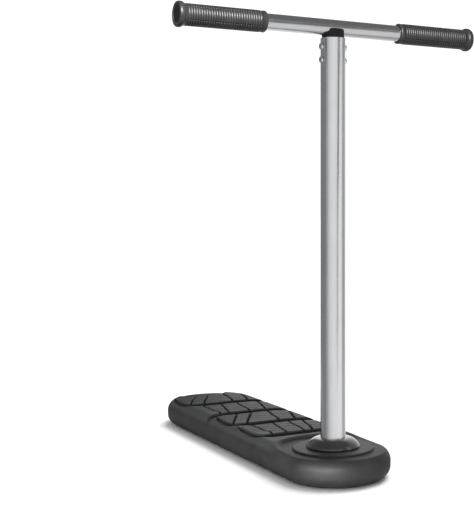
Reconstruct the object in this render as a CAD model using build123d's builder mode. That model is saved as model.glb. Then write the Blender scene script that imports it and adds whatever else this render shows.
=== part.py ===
from build123d import *
from math import cos, radians, sin
import os

# Trampoline trick scooter: a foam foot deck with a T-shaped handlebar column that spins freely on
# two ball bearings in the nose of the deck. Millimetres, +X to the nose, +Y to the rider's left,
# +Z up. The origin is on the floor under the centre of the deck.

# ---------------------------------------------------------------- deck
deck_length = 640.0
deck_width = 168.0
deck_thickness = 46.0
deck_edge_radius = 20.0
nose_overhang = 90.0  # deck nose tip, measured ahead of the spin axis

# ---------------------------------------------------------------- tread
groove_depth = 4.5
groove_width = 23.0
tread_pitch = 100.0  # one block to the next along the deck
first_groove = 111.0  # centre of the groove nearest the column, behind the spin axis
groove_count = 4
hook_inset = 12.5  # a groove's narrow run along the deck's edge, in from the edge
hook_width = 8.0
tail_groove_radius = 58.0  # groove behind the last block, about the centre of the round tail
tail_groove_start = 36.0  # its front edge, behind that centre
nose_step_radius = 88.0  # lowered nose floor, about the spin axis
sipe_width = 2.2  # narrow cuts across each block
sipe_depth = 2.6

# ---------------------------------------------------------------- core board inside the foam
board_thickness = 8.0
board_margin = 28.0  # foam between the board's edge and the deck's edge
board_rise = 4.5  # board's underside above the housing's lower end

# ---------------------------------------------------------------- standard bearing, 17 x 35 x 10
bearing_bore = 17.0
bearing_outside = 35.0
bearing_width = 10.0
ball_count = 9
race_shoulder = 3.1  # radial thickness of each race at its edge
race_floor = 2.12  # radial thickness of each race under the ball groove
groove_play = 0.03
cage_play = 0.15
cage_half_wall = 1.1
cage_rim = 1.1  # height left above and below the balls' pockets
bearing_spacing = 6.0
race_round = 0.5
race_relief = 0.5  # shoulders on an inner race stay this far inside its edge
journal_rise = 1.0  # spindle's lower end above the lower bearing's

# ---------------------------------------------------------------- bearing housing and its bolts
housing_wall = 4.5
housing_lip = 2.5  # inward shoulder between the two bearings
bearing_inset = 1.0  # upper bearing's top, below the nose floor
flange_radius = 50.0
flange_thickness = 4.0
flange_bolt_circle = 72.0
flange_bolt_start = 45  # degrees
flange_bolt_count = 4
flange_bolt_size = 6.0
flange_bolt_play = 0.25
flange_nut_height = 5.0
flange_nut_width = 10.0
flange_bolt_head = 11.0
flange_bolt_head_height = 3.3
backing_thickness = 3.0
pocket_play = 1.0
nut_play = 0.5
button_round = 0.6  # rounding and socket depth of a button head, as a share of its height
circlip_thickness = 1.5
circlip_width = 3.0
circlip_opening = 7.5
circlip_land = 0.5  # housing left below the circlip's groove

# ---------------------------------------------------------------- column
post_diameter = 38.0
post_wall = 2.0
post_seat = 4.8  # post's lower end above the collar's
post_top = 661.0
post_edge_break = 0.4
spindle_flange_height = 4.0
spindle_spigot = 42.0
kingpin_size = 10.0
kingpin_head_width = 17.0
kingpin_head_height = 6.4
kingpin_thread_depth = 30.0
kingpin_washer_radius = 11.2
kingpin_washer_thickness = 2.0
kingpin_washer_play = 0.3
kingpin_end_gap = 2.0  # thread left free past the kingpin's end
thread_lead = 1.0  # chamfer on a spindle's or bolt's end

# ---------------------------------------------------------------- collar, cover disc, sole plug
collar_reach = 21.5  # collar's rim beyond the post's surface
collar_neck_wall = 1.6
collar_height = 14.3
collar_skirt = 1.6
collar_wall = 3.0
collar_gap = 0.7  # running gap between the turning collar and the cover disc
collar_screw_size = 5.0
collar_screw_rise = 8.3  # screws' axis above the collar's lower end
collar_screw_length = 10.0
collar_screw_socket = 2.0  # depth
dome_share = 0.66  # how far out the dome's arc is guided, from neck to base
dome_drop = 4.6  # and how far below the collar's top it is there
collar_screw_angles = (-105.0, 165.0)  # about the spin axis, from +X towards +Y
disc_radius = 62.0
disc_thickness = 3.0
disc_lap = 6.0  # how far the disc covers the foam around its pocket
disc_skirt = 8.0
disc_skirt_wall = 2.0
disc_edge = 1.2  # upright part of the disc's edge
disc_bevel = 1.8
sole_plug_radius = 26.0
sole_plug_thickness = 4.0
sole_plug_recess = 0.6
sole_plug_round = 1.0
plug_slot_length = 14.0  # coin slot in the sole plug
plug_slot_width = 3.0
plug_slot_depth = 1.5
access_radius = 18.0

# ---------------------------------------------------------------- handlebar
bar_diameter = 25.0
bar_wall = 2.0
bar_length = 494.0
bar_clearance = 3.5  # between the post's top and the handlebar's underside
saddle_stem = 52.0  # length of the saddle inside the post
saddle_dip = 2.5  # saddle's top below the handlebar's axis
saddle_top_round = 1.5
saddle_screw_size = 6.0
saddle_screw_length = 10.0
saddle_screw_head = 10.4
saddle_screw_head_height = 3.3
saddle_screw_first = 13.0  # below the post's top
saddle_screw_spacing = 20.0
hex_socket = 4.0
bar_bolt_size = 8.0
bar_bolt_head = 13.0
bar_bolt_head_height = 8.0
bar_bolt_seat = 22.0  # depth of the counterbore in the saddle's foot
bar_bolt_play = 0.25
bar_bolt_socket = 6.0  # hexagon across its flats
bar_bolt_socket_depth = 4.0
bar_nut_length = 24.0
bar_nut_height = 7.0

# ---------------------------------------------------------------- grips and end plugs
grip_length = 136.0
grip_wall = 3.5
grip_flange_rise = 2.5  # end flange beyond the grip's surface
grip_flange_width = 8.0
grip_end_wall = 3.0
grip_collar = 9.0  # plain band at the inner end
grip_rib_pitch = 3.8
grip_rib_gap = 1.3
grip_rib_depth = 0.7
grip_plain_run = 4.0  # between the last ring and the flange
grip_flange_lead = 2.0  # slope up to the flange
grip_flange_round = 2.5
grip_nose_round = 2.0
plug_cap_thickness = 2.0
plug_stem = 18.0
plug_lead = 1.5  # chamfer on the stem's end

# ---------------------------------------------------------------- places worked out from the sizes
spin_x = deck_length / 2 - nose_overhang
tread_floor = deck_thickness - groove_depth
bearing_radius = bearing_outside / 2
bearing_section = (bearing_outside - bearing_bore) / 2
pitch_radius = (bearing_outside + bearing_bore) / 4
ball_radius = bearing_section / 2 - race_floor
cage_height = 2 * (ball_radius + cage_play + cage_rim)
upper_bearing_bottom = tread_floor - bearing_inset - bearing_width
lower_bearing_bottom = upper_bearing_bottom - bearing_spacing - bearing_width
journal_top = upper_bearing_bottom + bearing_width
journal_bottom = lower_bearing_bottom + journal_rise
housing_radius = bearing_radius + housing_wall
housing_bottom = lower_bearing_bottom - circlip_thickness - circlip_land
board_bottom = housing_bottom + board_rise
board_top = board_bottom + board_thickness
flange_top = board_top + flange_thickness
backing_bottom = board_bottom - backing_thickness
flange_bolt_bottom = backing_bottom - flange_nut_height
nut_room_bottom = flange_bolt_bottom - nut_play
washer_bottom = lower_bearing_bottom - kingpin_washer_thickness
kingpin_bottom = washer_bottom - kingpin_head_height
disc_bottom = tread_floor
disc_top = disc_bottom + disc_thickness
pocket_radius = disc_radius - disc_lap
post_radius = post_diameter / 2
post_inner_radius = post_radius - post_wall
collar_bottom = disc_top + collar_gap
collar_top = collar_bottom + collar_height
collar_base_radius = post_radius + collar_reach
collar_neck_radius = post_radius + collar_neck_wall
dome_guide_radius = collar_neck_radius + dome_share * (collar_base_radius - collar_neck_radius)
collar_screw_height = collar_bottom + collar_screw_rise
post_bottom = collar_bottom + post_seat
bar_radius = bar_diameter / 2
bar_height = post_top + bar_clearance + bar_radius
grip_radius = bar_radius + grip_wall
grip_flange_radius = grip_radius + grip_flange_rise
grip_outer_end = bar_length / 2 + grip_end_wall
grip_inner_end = grip_outer_end - grip_length
saddle_top = bar_height - saddle_dip
saddle_bottom = post_top - saddle_stem
bar_bolt_seat_height = saddle_bottom + bar_bolt_seat
saddle_screw_places = [
    (0, post_top - bar_height - saddle_screw_first - row * saddle_screw_spacing) for row in range(2)
]
grip_groove_zone = grip_length - grip_collar - grip_flange_width - grip_plain_run
grip_groove_count = int(grip_groove_zone / grip_rib_pitch)
grip_groove_places = [
    grip_inner_end + grip_collar + (number + 0.5) * grip_rib_pitch
    for number in range(grip_groove_count)
]

spin_axis = Axis((spin_x, 0, 0), (0, 0, 1))
bar_axis = Axis((spin_x, 0, bar_height), (0, 1, 0))
hub = Plane(origin=(spin_x, 0, 0), x_dir=(1, 0, 0), z_dir=(0, 0, 1))
hub_section = Plane(origin=(spin_x, 0, 0), x_dir=(1, 0, 0), z_dir=(0, -1, 0))
bar_end_view = Plane(origin=(spin_x, 0, bar_height), x_dir=(1, 0, 0), z_dir=(0, -1, 0))

os.makedirs("parts", exist_ok=True)


def save(name, part):
    """Labels a finished piece with its name and writes it to its own file."""
    part.label = name
    export_step(part, f"parts/{name}.step")


def groove_centre(number):
    """X of a wide groove's centre; 0 is the one nearest the column."""
    return spin_x - first_groove - number * tread_pitch


# Each wide groove crosses the deck and sweeps forward at its far (+Y) end. At the near end it
# either hooks back along the deck's edge in a narrow run, or sweeps forward as well.
far_sweep = 24.0
near_sweep = 16.0
hook_lengths = (86.0, 80.0, None, 80.0)  # None for the groove that sweeps forward
hook_turn = 14.0  # where the narrow run leaves the wide part
rim_y = deck_width / 2 - groove_width / 2
rim_run = 10.0  # how far a groove runs out past there
hook_y = deck_width / 2 - hook_inset
tail_centre = deck_length / 2 - deck_width / 2

# Narrow cuts across the blocks, nearest the column first, as X, Y from the block's middle.
block_cuts = (
    (
        ((-42, -44), (-15, -42), (10, -43), (22, -39), (40, -43)),
        ((-42, -4), (-28, -7), (2, -11), (28, -15), (42, -17)),
        ((-40, 25), (-21, 21), (11, 19), (32, 16), (41, 15)),
        ((-40, 50), (-8, 42), (13, 38), (40, 29)),
    ),
    (
        ((-40, -25), (-26, -32), (5, -49), (34, -64)),
        ((-40, 2), (-14, -12), (5, -23), (27, -35), (42, -42)),
        ((-40, 33), (-21, 30), (2, 24), (21, 23), (41, 17)),
        ((-30, 66), (-3, 61), (24, 52), (41, 47)),
    ),
    (
        ((-42, -45), (-26, -49), (-12, -47), (13, -48), (22, -46), (31, -44), (42, -48)),
        ((-42, -12), (-9, -19), (11, -24), (39, -30)),
        ((-41, 18), (-12, 14), (10, 13), (31, 11), (42, 7)),
        ((-33, 56), (-12, 53), (18, 45), (42, 39)),
    ),
    (
        ((-42, -20), (-16, -35), (7, -47), (34, -60)),
        ((-42, 5), (0, -17), (18, -27), (42, -37)),
        ((-40, 34), (-3, 29), (19, 26), (43, 19)),
        ((-24, 63), (8, 58), (29, 53), (42, 48)),
    ),
)

# Foam deck: a moulded slab with round ends, a lowered nose floor, blocks cut by grooves, and
# the room inside for the core board and the bearing hub.
with BuildPart() as deck_foam:
    with BuildSketch(Plane.XY):
        SlotOverall(deck_length, deck_width)
    extrude(amount=deck_thickness)
    fillet(deck_foam.edges().group_by(Axis.Z)[-1], deck_edge_radius)
    fillet(deck_foam.edges().group_by(Axis.Z)[0], deck_edge_radius)
    # lowered floor around the column, bounded behind by a round step
    with BuildSketch(Plane.XY.offset(tread_floor)):
        with Locations((spin_x, 0)):
            Circle(nose_step_radius)
        with Locations((spin_x + nose_step_radius, 0)):
            Rectangle(2 * nose_step_radius, deck_width)
    extrude(amount=groove_depth, mode=Mode.SUBTRACT)
    # wide grooves between the blocks
    for number in range(groove_count):
        x = groove_centre(number)
        with BuildSketch(Plane.XY.offset(tread_floor)):
            with BuildLine():
                corners = [(x, -rim_y / 2), (x, rim_y / 2), (x + far_sweep, rim_y + rim_run)]
                if hook_lengths[number]:
                    corners = [(x - hook_turn / 2, -hook_y + hook_turn / 2)] + corners
                else:
                    corners = [(x + near_sweep, -rim_y - rim_run)] + corners
                FilletPolyline(*corners, radius=groove_width)
            trace(line_width=groove_width)
        extrude(amount=groove_depth, mode=Mode.SUBTRACT)
        if hook_lengths[number]:
            run = hook_lengths[number]
            with BuildSketch(Plane.XY.offset(tread_floor)):
                with Locations((x - run / 2, -hook_y)):
                    SlotOverall(run, hook_width)
            extrude(amount=groove_depth, mode=Mode.SUBTRACT)
    # groove behind the last block, inside the tail's rim
    with BuildSketch(Plane.XY.offset(tread_floor)):
        with Locations((-tail_centre, 0)):
            Circle(tail_groove_radius)
        with Locations((-tail_centre - tail_groove_start + deck_width / 2, 0)):
            Rectangle(deck_width, deck_width, mode=Mode.SUBTRACT)
    extrude(amount=groove_depth, mode=Mode.SUBTRACT)
    # narrow cuts in each block
    for number, cuts in enumerate(block_cuts):
        x = groove_centre(number) - tread_pitch / 2
        for cut in cuts:
            with BuildSketch(Plane.XY.offset(deck_thickness - sipe_depth)):
                with BuildLine():
                    Polyline(*[(x + along, across) for along, across in cut])
                trace(line_width=sipe_width)
            extrude(amount=sipe_depth, mode=Mode.SUBTRACT)
    # room for the core board
    with BuildSketch(Plane.XY.offset(board_bottom)):
        SlotOverall(deck_length - 2 * board_margin, deck_width - 2 * board_margin)
    extrude(amount=board_thickness, mode=Mode.SUBTRACT)
    # room for the hub: above the board, below it, and the way in from the sole
    with BuildSketch(hub.offset(board_top)):
        Circle(pocket_radius)
    extrude(amount=deck_thickness - board_top, mode=Mode.SUBTRACT)
    with BuildSketch(hub.offset(sole_plug_thickness + sole_plug_recess)):
        Circle(access_radius)
    extrude(amount=nut_room_bottom, mode=Mode.SUBTRACT)
    with BuildSketch(hub.offset(nut_room_bottom)):
        Circle(flange_radius + pocket_play)
    extrude(amount=board_bottom - nut_room_bottom, mode=Mode.SUBTRACT)
    with BuildSketch(hub):
        Circle(sole_plug_radius)
    extrude(amount=sole_plug_thickness + sole_plug_recess, mode=Mode.SUBTRACT)
save("deck_foam", deck_foam.part)

# Stiff core board, with a round hole for the bearing housing and holes for the flange bolts.
with BuildPart() as core_board:
    with BuildSketch(Plane.XY.offset(board_bottom)):
        SlotOverall(deck_length - 2 * board_margin, deck_width - 2 * board_margin)
        with Locations((spin_x, 0)):
            Circle(housing_radius + flange_bolt_play, mode=Mode.SUBTRACT)
            with PolarLocations(flange_bolt_circle / 2, flange_bolt_count, start_angle=flange_bolt_start):
                Circle(flange_bolt_size / 2 + flange_bolt_play, mode=Mode.SUBTRACT)
    extrude(amount=board_thickness)
save("core_board", core_board.part)

# Bearing housing: a flanged cup through the board, bored from both ends for one bearing each.
with BuildPart() as bearing_housing:
    with BuildSketch(hub_section):
        with BuildLine():
            Polyline(
                (bearing_radius, housing_bottom),
                (housing_radius, housing_bottom),
                (housing_radius, board_top),
                (flange_radius, board_top),
                (flange_radius, flange_top),
                (housing_radius, flange_top),
                (housing_radius, disc_bottom),
                (bearing_radius, disc_bottom),
                (bearing_radius, upper_bearing_bottom),
                (bearing_radius - housing_lip, upper_bearing_bottom),
                (bearing_radius - housing_lip, upper_bearing_bottom - bearing_spacing),
                (bearing_radius, upper_bearing_bottom - bearing_spacing),
                close=True,
            )
        make_face()
    revolve(axis=spin_axis)
    with BuildSketch(hub.offset(board_top)):
        with PolarLocations(flange_bolt_circle / 2, flange_bolt_count, start_angle=flange_bolt_start):
            Circle(flange_bolt_size / 2 + flange_bolt_play)
    extrude(amount=flange_thickness, mode=Mode.SUBTRACT)
    # groove for the circlip below the lower bearing
    with BuildSketch(hub.offset(lower_bearing_bottom - circlip_thickness)):
        Circle(bearing_radius + circlip_width / 2)
    extrude(amount=circlip_thickness, mode=Mode.SUBTRACT)
save("bearing_housing", bearing_housing.part)

# Steel ring under the board that the flange bolts clamp against.
with BuildPart() as backing_ring:
    with BuildSketch(hub.offset(backing_bottom)):
        Circle(flange_radius)
        Circle(housing_radius + flange_bolt_play, mode=Mode.SUBTRACT)
        with PolarLocations(flange_bolt_circle / 2, flange_bolt_count, start_angle=flange_bolt_start):
            Circle(flange_bolt_size / 2 + flange_bolt_play, mode=Mode.SUBTRACT)
    extrude(amount=backing_thickness)
save("backing_ring", backing_ring.part)

# Four button-head bolts through the flange, the board and the ring.
with BuildPart() as flange_bolts:
    with BuildSketch(hub.offset(flange_bolt_bottom)):
        with PolarLocations(flange_bolt_circle / 2, flange_bolt_count, start_angle=flange_bolt_start):
            Circle(flange_bolt_size / 2)
    extrude(amount=flange_top - flange_bolt_bottom)
    with BuildSketch(hub.offset(flange_top)):
        with PolarLocations(flange_bolt_circle / 2, flange_bolt_count, start_angle=flange_bolt_start):
            Circle(flange_bolt_head / 2)
    extrude(amount=flange_bolt_head_height)
    fillet(flange_bolts.edges().group_by(Axis.Z)[-1], button_round * flange_bolt_head_height)
    with BuildSketch(hub.offset(flange_top + flange_bolt_head_height)):
        with PolarLocations(flange_bolt_circle / 2, flange_bolt_count, start_angle=flange_bolt_start):
            RegularPolygon(hex_socket / 2, 6, major_radius=False)
    extrude(amount=-button_round * flange_bolt_head_height, mode=Mode.SUBTRACT)
save("flange_bolts", flange_bolts.part)

# Their nuts, under the ring.
with BuildPart() as flange_nuts:
    with BuildSketch(hub.offset(flange_bolt_bottom)):
        with PolarLocations(flange_bolt_circle / 2, flange_bolt_count, start_angle=flange_bolt_start):
            RegularPolygon(flange_nut_width / 2, 6, major_radius=False)
            Circle(flange_bolt_size / 2, mode=Mode.SUBTRACT)
    extrude(amount=flange_nut_height)
save("flange_nuts", flange_nuts.part)

# Circlip that holds the lower bearing in the housing.
with BuildPart() as circlip:
    with BuildSketch(hub.offset(lower_bearing_bottom - circlip_thickness)):
        Circle(bearing_radius + circlip_width / 2)
        Circle(bearing_radius - circlip_width / 2, mode=Mode.SUBTRACT)
        with Locations((-bearing_radius, 0)):
            Rectangle(2 * circlip_width, circlip_opening, mode=Mode.SUBTRACT)
    extrude(amount=circlip_thickness)
save("circlip", circlip.part)

# Two ball bearings: each has an outer race in the housing, an inner race on the spindle, and
# balls in a cage between them.
for place, bottom in (("lower", lower_bearing_bottom), ("upper", upper_bearing_bottom)):
    middle = bottom + bearing_width / 2
    with BuildPart() as outer_race:
        with BuildSketch(hub.offset(bottom)):
            Circle(bearing_radius)
            Circle(bearing_radius - race_shoulder, mode=Mode.SUBTRACT)
        extrude(amount=bearing_width)
        fillet(outer_race.edges().filter_by(GeomType.CIRCLE).group_by(SortBy.RADIUS)[-1], race_round)
        with BuildSketch(Plane(origin=(spin_x, 0, middle), x_dir=(1, 0, 0), z_dir=(0, -1, 0))):
            with Locations((pitch_radius, 0)):
                Circle(ball_radius + groove_play)
        revolve(axis=spin_axis, mode=Mode.SUBTRACT)
    save(f"{place}_outer_race", outer_race.part)

    with BuildPart() as inner_race:
        with BuildSketch(hub.offset(bottom)):
            Circle(bearing_bore / 2 + race_shoulder)
            Circle(bearing_bore / 2, mode=Mode.SUBTRACT)
        extrude(amount=bearing_width)
        with BuildSketch(Plane(origin=(spin_x, 0, middle), x_dir=(1, 0, 0), z_dir=(0, -1, 0))):
            with Locations((pitch_radius, 0)):
                Circle(ball_radius + groove_play)
        revolve(axis=spin_axis, mode=Mode.SUBTRACT)
    save(f"{place}_inner_race", inner_race.part)

    with BuildPart() as balls:
        with Locations((spin_x, 0, middle)):
            with PolarLocations(pitch_radius, ball_count):
                Sphere(ball_radius)
    save(f"{place}_balls", balls.part)

    with BuildPart() as cage:
        with BuildSketch(hub.offset(middle - cage_height / 2)):
            Circle(pitch_radius + cage_half_wall)
            Circle(pitch_radius - cage_half_wall, mode=Mode.SUBTRACT)
        extrude(amount=cage_height)
        for number in range(ball_count):
            turn = radians(360 * number / ball_count)
            pocket_plane = Plane(
                origin=(spin_x, 0, middle),
                x_dir=(-sin(turn), cos(turn), 0),
                z_dir=(cos(turn), sin(turn), 0),
            )
            with BuildSketch(pocket_plane):
                Circle(ball_radius + cage_play)
            extrude(amount=bearing_radius, mode=Mode.SUBTRACT)
    save(f"{place}_cage", cage.part)

# Spacer between the two inner races.
with BuildPart() as race_spacer:
    with BuildSketch(hub.offset(lower_bearing_bottom + bearing_width)):
        Circle(bearing_bore / 2 + race_shoulder - race_relief)
        Circle(bearing_bore / 2, mode=Mode.SUBTRACT)
    extrude(amount=bearing_spacing)
save("race_spacer", race_spacer.part)

# Spindle: pressed into the foot of the post, with a shoulder on the upper bearing, a journal
# through both bearings and a thread for the kingpin.
with BuildPart() as spindle:
    with BuildSketch(hub_section):
        with BuildLine():
            Polyline(
                (kingpin_size / 2, journal_bottom),
                (bearing_bore / 2, journal_bottom),
                (bearing_bore / 2, journal_top),
                (bearing_bore / 2 + race_shoulder - race_relief, journal_top),
                (bearing_bore / 2 + race_shoulder - race_relief, post_bottom - spindle_flange_height),
                (post_radius, post_bottom - spindle_flange_height),
                (post_radius, post_bottom),
                (post_inner_radius, post_bottom),
                (post_inner_radius, post_bottom + spindle_spigot),
                (0, post_bottom + spindle_spigot),
                (0, journal_bottom + kingpin_thread_depth),
                (kingpin_size / 2, journal_bottom + kingpin_thread_depth),
                close=True,
            )
        make_face()
    revolve(axis=spin_axis)
    chamfer(spindle.edges().group_by(Axis.Z)[-1], thread_lead)
save("spindle", spindle.part)

# Kingpin: an M10 bolt from below that draws the spindle down onto the bearings.
with BuildPart() as kingpin_washer:
    with BuildSketch(hub.offset(washer_bottom)):
        Circle(kingpin_washer_radius)
        Circle(kingpin_size / 2 + kingpin_washer_play, mode=Mode.SUBTRACT)
    extrude(amount=kingpin_washer_thickness)
save("kingpin_washer", kingpin_washer.part)

with BuildPart() as kingpin_bolt:
    with BuildSketch(hub.offset(kingpin_bottom)):
        RegularPolygon(kingpin_head_width / 2, 6, major_radius=False)
    extrude(amount=kingpin_head_height)
    with BuildSketch(hub.offset(washer_bottom)):
        Circle(kingpin_size / 2)
    extrude(amount=kingpin_washer_thickness + kingpin_thread_depth - kingpin_end_gap)
    chamfer(kingpin_bolt.edges().group_by(Axis.Z)[-1], thread_lead)
save("kingpin_bolt", kingpin_bolt.part)

# Rubber plug that closes the way in to the kingpin from the sole.
with BuildPart() as sole_plug:
    with BuildSketch(hub.offset(sole_plug_recess)):
        Circle(sole_plug_radius)
    extrude(amount=sole_plug_thickness)
    fillet(sole_plug.edges().group_by(Axis.Z)[0], sole_plug_round)
    with BuildSketch(hub.offset(sole_plug_recess)):
        SlotOverall(plug_slot_length, plug_slot_width)
    extrude(amount=plug_slot_depth, mode=Mode.SUBTRACT)
save("sole_plug", sole_plug.part)

# Cover disc around the hub: lies on the foam and grips the housing with a short skirt.
with BuildPart() as cover_disc:
    with BuildSketch(hub_section):
        with BuildLine():
            Polyline(
                (housing_radius, disc_bottom - disc_skirt),
                (housing_radius + disc_skirt_wall, disc_bottom - disc_skirt),
                (housing_radius + disc_skirt_wall, disc_bottom),
                (disc_radius, disc_bottom),
                (disc_radius, disc_bottom + disc_edge),
                (disc_radius - disc_bevel, disc_top),
                (housing_radius, disc_top),
                close=True,
            )
        make_face()
    revolve(axis=spin_axis)
save("cover_disc", cover_disc.part)

# Domed collar at the foot of the post. It turns with the post, just clear of the cover disc.
with BuildPart() as post_collar:
    with BuildSketch(hub_section):
        with BuildLine():
            Polyline(
                (post_radius, collar_top),
                (collar_neck_radius, collar_top),
            )
            ThreePointArc(
                (collar_neck_radius, collar_top),
                (dome_guide_radius, collar_top - dome_drop),
                (collar_base_radius, collar_bottom + collar_skirt),
            )
            Polyline(
                (collar_base_radius, collar_bottom + collar_skirt),
                (collar_base_radius, collar_bottom),
                (collar_base_radius - collar_wall, collar_bottom),
                (collar_base_radius - 2 * collar_wall, collar_bottom + collar_wall),
                (post_radius, collar_bottom + collar_wall),
                (post_radius, collar_top),
            )
        make_face()
    revolve(axis=spin_axis)
    # screw holes, square to the post
    for angle in collar_screw_angles:
        screw_plane = Plane(
            origin=(spin_x, 0, collar_screw_height),
            x_dir=(-sin(radians(angle)), cos(radians(angle)), 0),
            z_dir=(cos(radians(angle)), sin(radians(angle)), 0),
        )
        with BuildSketch(screw_plane.offset(post_radius)):
            Circle(collar_screw_size / 2)
        extrude(amount=collar_base_radius, mode=Mode.SUBTRACT)
save("post_collar", post_collar.part)

# Socket set screws that fix the collar to the post.
with BuildPart() as collar_screws:
    for angle in collar_screw_angles:
        screw_plane = Plane(
            origin=(spin_x, 0, collar_screw_height),
            x_dir=(-sin(radians(angle)), cos(radians(angle)), 0),
            z_dir=(cos(radians(angle)), sin(radians(angle)), 0),
        )
        with BuildSketch(screw_plane.offset(post_radius)):
            Circle(collar_screw_size / 2)
        extrude(amount=collar_screw_length)
        with BuildSketch(screw_plane.offset(post_radius + collar_screw_length)):
            RegularPolygon(collar_screw_size / 4, 6, major_radius=False)
        extrude(amount=-collar_screw_socket, mode=Mode.SUBTRACT)
save("collar_screws", collar_screws.part)

# Post: a round tube drilled on both sides for the saddle's screws.
with BuildPart() as post_tube:
    with BuildSketch(hub.offset(post_bottom)):
        Circle(post_radius)
        Circle(post_inner_radius, mode=Mode.SUBTRACT)
    extrude(amount=post_top - post_bottom)
    chamfer(post_tube.edges().group_by(Axis.Z)[-1], post_edge_break)
    with BuildSketch(bar_end_view):
        with Locations(*saddle_screw_places):
            Circle(saddle_screw_size / 2)
    extrude(amount=post_diameter, both=True, mode=Mode.SUBTRACT)
save("post_tube", post_tube.part)

# Saddle: a plug in the mouth of the post, hollowed on top to cradle the handlebar and bored
# from below for the bolt that draws the bar down.
with BuildPart() as saddle:
    with BuildSketch(hub.offset(saddle_bottom)):
        Circle(post_inner_radius)
    extrude(amount=saddle_top - saddle_bottom)
    fillet(saddle.edges().group_by(Axis.Z)[-1], saddle_top_round)
    with BuildSketch(bar_end_view):
        Circle(bar_radius)
        with Locations((0, bar_radius)):
            Rectangle(bar_diameter, bar_diameter)
    extrude(amount=post_diameter, both=True, mode=Mode.SUBTRACT)
    with BuildSketch(bar_end_view):
        with Locations(*saddle_screw_places):
            Circle(saddle_screw_size / 2)
    extrude(amount=post_diameter, both=True, mode=Mode.SUBTRACT)
    with BuildSketch(hub.offset(saddle_bottom)):
        Circle(bar_bolt_size / 2 + bar_bolt_play)
    extrude(amount=saddle_top - saddle_bottom, mode=Mode.SUBTRACT)
    with BuildSketch(hub.offset(saddle_bottom)):
        Circle(bar_bolt_head / 2 + bar_bolt_play)
    extrude(amount=bar_bolt_seat, mode=Mode.SUBTRACT)
save("saddle", saddle.part)

# Four button-head screws, two on each side, that fix the saddle in the post.
with BuildPart() as saddle_screws:
    for side in (1, -1):
        side_plane = Plane(origin=(spin_x, 0, bar_height), x_dir=(side, 0, 0), z_dir=(0, -side, 0))
        with BuildSketch(side_plane.offset(post_radius - saddle_screw_length)):
            with Locations(*saddle_screw_places):
                Circle(saddle_screw_size / 2)
        extrude(amount=saddle_screw_length)
        with BuildSketch(side_plane.offset(post_radius)):
            with Locations(*saddle_screw_places):
                Circle(saddle_screw_head / 2)
        extrude(amount=saddle_screw_head_height)
    fillet(saddle_screws.edges().group_by(Axis.Y)[0], button_round * saddle_screw_head_height)
    fillet(saddle_screws.edges().group_by(Axis.Y)[-1], button_round * saddle_screw_head_height)
    for side in (1, -1):
        side_plane = Plane(origin=(spin_x, 0, bar_height), x_dir=(side, 0, 0), z_dir=(0, -side, 0))
        with BuildSketch(side_plane.offset(post_radius + saddle_screw_head_height)):
            with Locations(*saddle_screw_places):
                RegularPolygon(hex_socket / 2, 6, major_radius=False)
        extrude(amount=-button_round * saddle_screw_head_height, mode=Mode.SUBTRACT)
save("saddle_screws", saddle_screws.part)

# Handlebar: a straight round tube with one hole underneath for its bolt.
with BuildPart() as handlebar_tube:
    with BuildSketch(bar_end_view):
        Circle(bar_radius)
        Circle(bar_radius - bar_wall, mode=Mode.SUBTRACT)
    extrude(amount=bar_length / 2, both=True)
    with BuildSketch(hub.offset(bar_height - 2 * bar_radius)):
        Circle(bar_bolt_size / 2 + bar_bolt_play)
    extrude(amount=2 * bar_radius, mode=Mode.SUBTRACT)
save("handlebar_tube", handlebar_tube.part)

# Bar nut: a half-round block inside the handlebar, tapped for the bar bolt.
with BuildPart() as bar_nut:
    with BuildSketch(bar_end_view):
        Circle(bar_radius - bar_wall)
        with Locations((0, bar_nut_height - bar_radius + bar_wall + bar_diameter / 2)):
            Rectangle(bar_diameter, bar_diameter, mode=Mode.SUBTRACT)
    extrude(amount=bar_nut_length / 2, both=True)
    with BuildSketch(hub.offset(bar_height - bar_diameter)):
        Circle(bar_bolt_size / 2)
    extrude(amount=bar_diameter, mode=Mode.SUBTRACT)
save("bar_nut", bar_nut.part)

# Bar bolt: socket-head bolt from inside the post, up through the saddle into the bar nut.
with BuildPart() as bar_bolt:
    with BuildSketch(hub.offset(bar_bolt_seat_height - bar_bolt_head_height)):
        Circle(bar_bolt_head / 2)
    extrude(amount=bar_bolt_head_height)
    with BuildSketch(hub.offset(bar_bolt_seat_height)):
        Circle(bar_bolt_size / 2)
    extrude(amount=bar_height - bar_radius + bar_wall + bar_nut_height - bar_bolt_seat_height)
    with BuildSketch(hub.offset(bar_bolt_seat_height - bar_bolt_head_height)):
        RegularPolygon(bar_bolt_socket / 2, 6, major_radius=False)
    extrude(amount=bar_bolt_socket_depth, mode=Mode.SUBTRACT)
save("bar_bolt", bar_bolt.part)

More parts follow.
